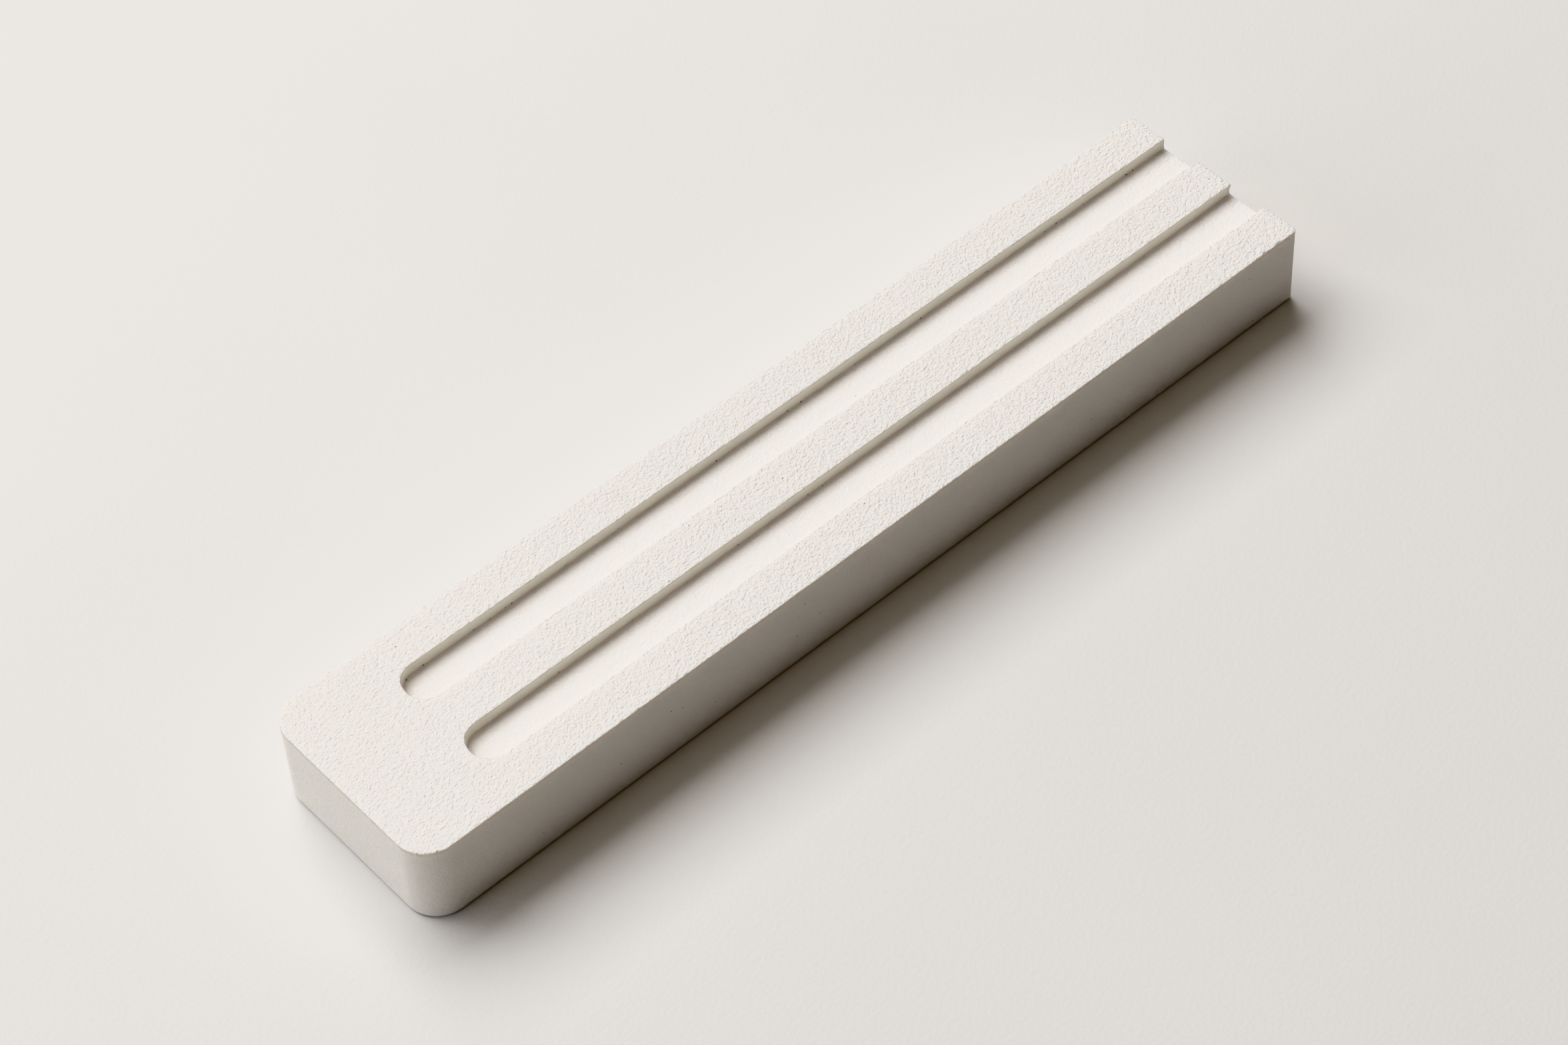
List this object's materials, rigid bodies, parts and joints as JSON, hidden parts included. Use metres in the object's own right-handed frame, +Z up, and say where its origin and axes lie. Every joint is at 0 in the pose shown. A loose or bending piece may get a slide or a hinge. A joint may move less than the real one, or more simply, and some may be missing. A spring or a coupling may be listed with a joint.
{
  "type": "scoring board",
  "caption": "Long cast mineral scoring board with parallel flat-floored grooves, round at one end and open at the other, on non-slip pads.",
  "frame": {"origin": "on the surface that the pads stand on, under the middle of the bar", "axes": "+X along the bar towards its open groove ends, +Y across the bar, +Z up"},
  "size_m": [0.2, 0.0414, 0.0174],
  "materials": {
    "cast_mineral": "matt off-white casting, finely pebbled on top and smoother in the grooves and on the sides",
    "pad_rubber": "matt translucent-grey elastomer"
  },
  "bodies": {
    "root": {"board": "cast_mineral", "foot_pad_1": "pad_rubber", "foot_pad_2": "pad_rubber", "foot_pad_3": "pad_rubber", "foot_pad_4": "pad_rubber"}
  },
  "joints": []
}
